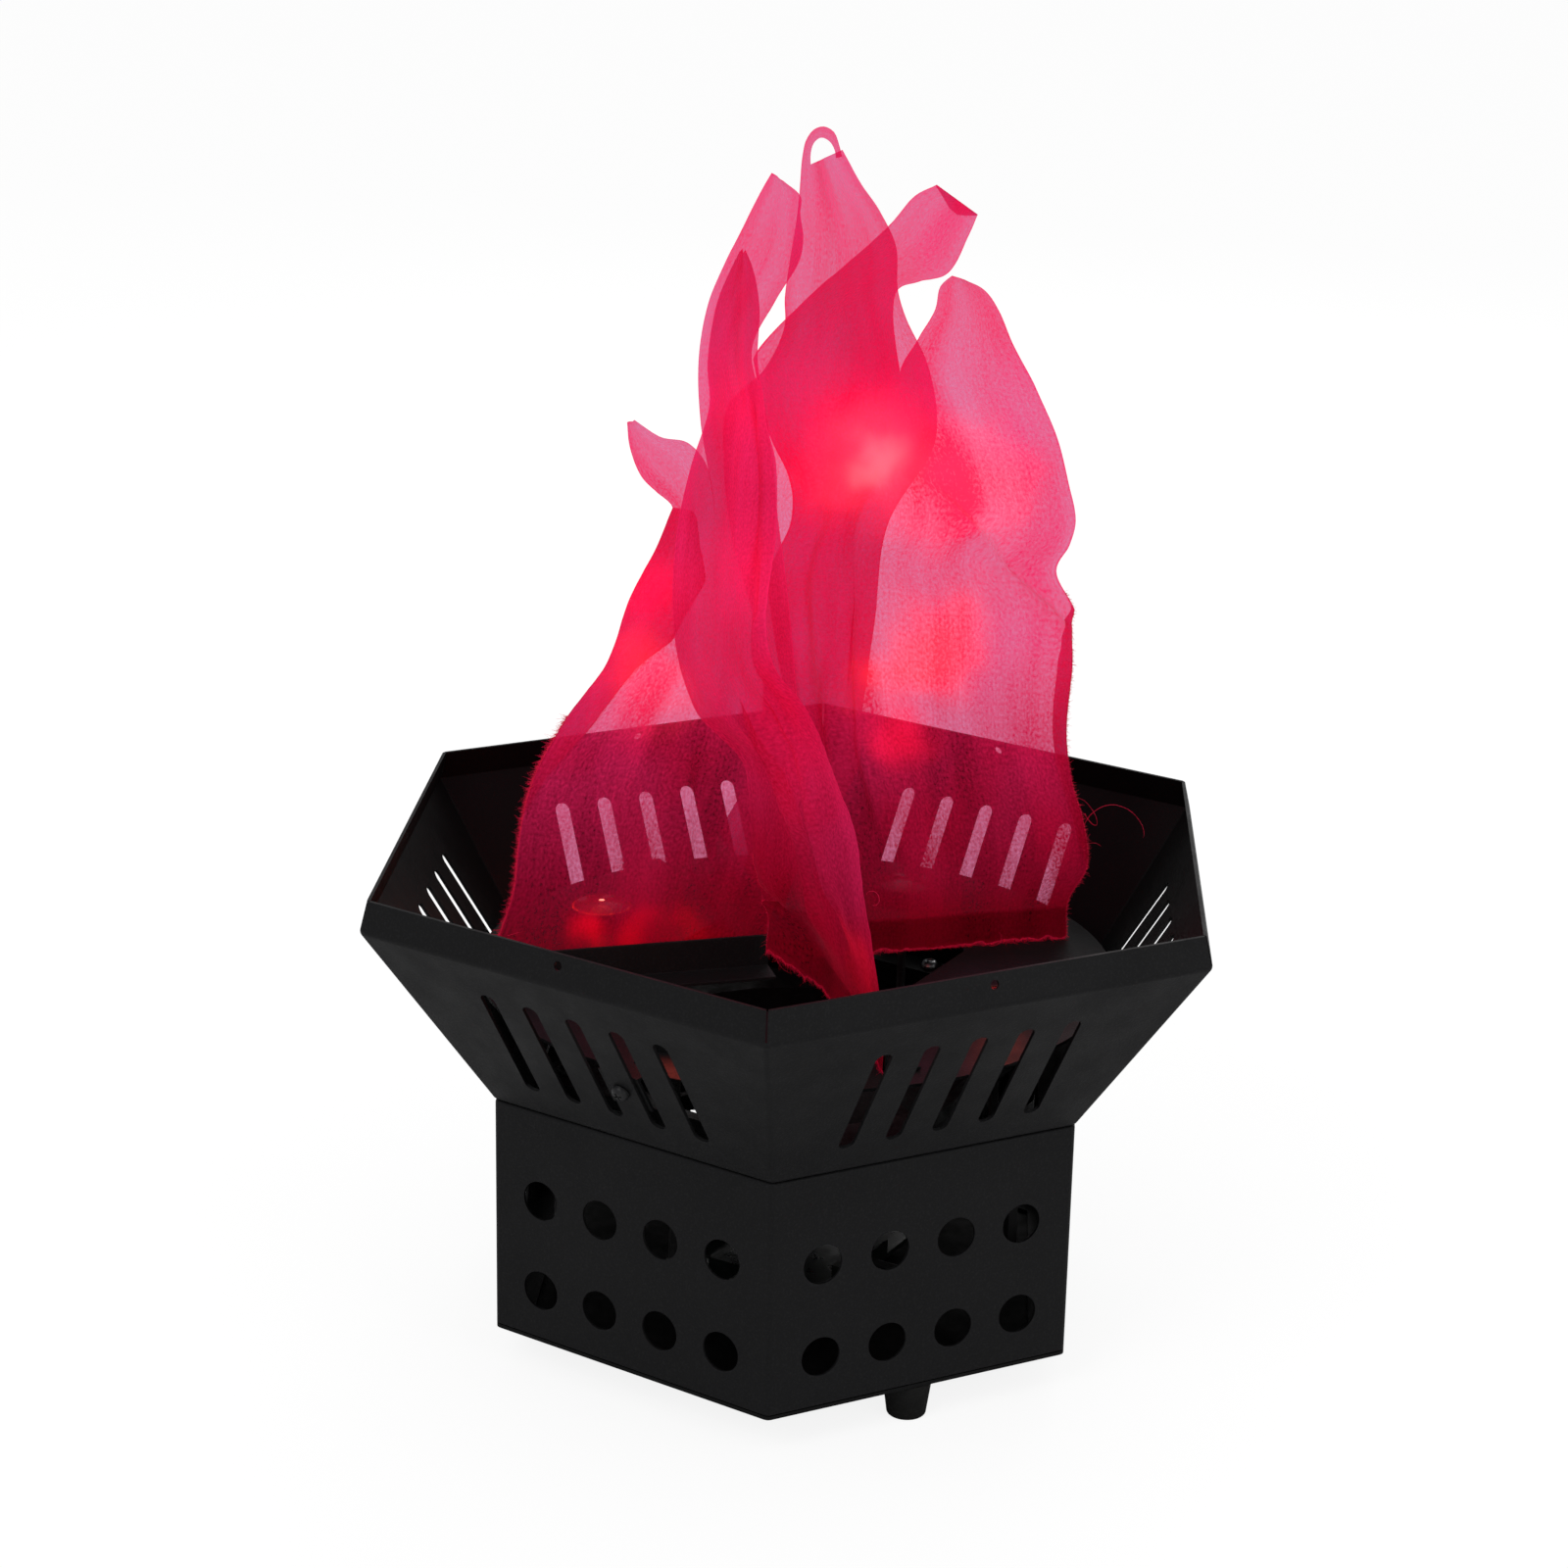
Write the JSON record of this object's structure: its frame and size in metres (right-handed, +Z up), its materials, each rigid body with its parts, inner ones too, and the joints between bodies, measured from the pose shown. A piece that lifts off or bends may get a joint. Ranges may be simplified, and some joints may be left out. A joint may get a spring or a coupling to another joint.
{
  "type": "silk flame effect light",
  "caption": "Flared hexagonal black steel basket on a perforated box, with a fan that blows lit magenta silks up into a flame.",
  "frame": {"origin": "on the ground, under the middle of the basket", "axes": "+Z up; -Y is the front corner of the basket, +X is to its right"},
  "size_m": [0.25, 0.288, 0.3796],
  "materials": {
    "black_paint": "satin black powder coat with a fine grain",
    "foot_rubber": "matt black rubber",
    "magenta_silk": "thin crepe silk, half see-through, with frayed edges",
    "black_screw": "black oxide steel",
    "plated_steel": "bright zinc plate",
    "black_moulding": "black glass-filled plastic",
    "clear_lens": "clear moulded lens",
    "lamp_board": "white-faced aluminium lamp board",
    "green_board": "green circuit board",
    "lead_jacket": "black flexible jacket"
  },
  "bodies": {
    "root": {"arm_screw_back": "black_screw", "arm_screw_front": "black_screw", "arm_screw_left": "black_screw", "arm_screw_right": "black_screw", "base_shell": "black_paint", "bottom_plate": "black_paint", "bowl_screw_1": "black_screw", "bowl_screw_2": "black_screw", "bowl_screw_3": "black_screw", "bowl_shell": "black_paint", "dc_jack": "black_moulding", "deck_plate": "black_paint", "driver_board": "green_board", "fan_frame": "black_moulding", "fan_lead": "lead_jacket", "fan_screw_1": "black_screw", "fan_screw_2": "black_screw", "fan_screw_3": "black_screw", "fan_screw_4": "black_screw", "fan_standoff_1": "plated_steel", "fan_standoff_2": "plated_steel", "fan_standoff_3": "plated_steel", "fan_standoff_4": "plated_steel", "foot_screw_1": "plated_steel", "foot_screw_2": "plated_steel", "foot_screw_3": "plated_steel", "jack_lead": "lead_jacket", "jack_nut": "plated_steel", "led_board_1": "lamp_board", "led_board_2": "lamp_board", "led_board_3": "lamp_board", "led_board_4": "lamp_board", "led_holder_1": "black_moulding", "led_holder_2": "black_moulding", "led_holder_3": "black_moulding", "led_holder_4": "black_moulding", "led_lead_1": "lead_jacket", "led_lead_2": "lead_jacket", "led_lead_3": "lead_jacket", "led_lead_4": "lead_jacket", "led_lens_1": "clear_lens", "led_lens_2": "clear_lens", "led_lens_3": "clear_lens", "led_lens_4": "clear_lens", "rubber_foot_1": "foot_rubber", "rubber_foot_2": "foot_rubber", "rubber_foot_3": "foot_rubber", "silk_arm_back": "black_paint", "silk_arm_front": "black_paint", "silk_arm_left": "black_paint", "silk_arm_right": "black_paint", "silk_back": "magenta_silk", "silk_front": "magenta_silk", "silk_left": "magenta_silk", "silk_right": "magenta_silk", "waist_screw_1": "plated_steel", "waist_screw_2": "plated_steel", "waist_screw_3": "plated_steel"},
    "fan_rotor": {"fan_rotor": "black_moulding"}
  },
  "joints": [
    {"name": "fan_spin", "type": "hinge", "parent": "root", "child": "fan_rotor", "pos_m": [0, 0, 0.074], "axis": [0, 0, 1], "continuous": true}
  ]
}
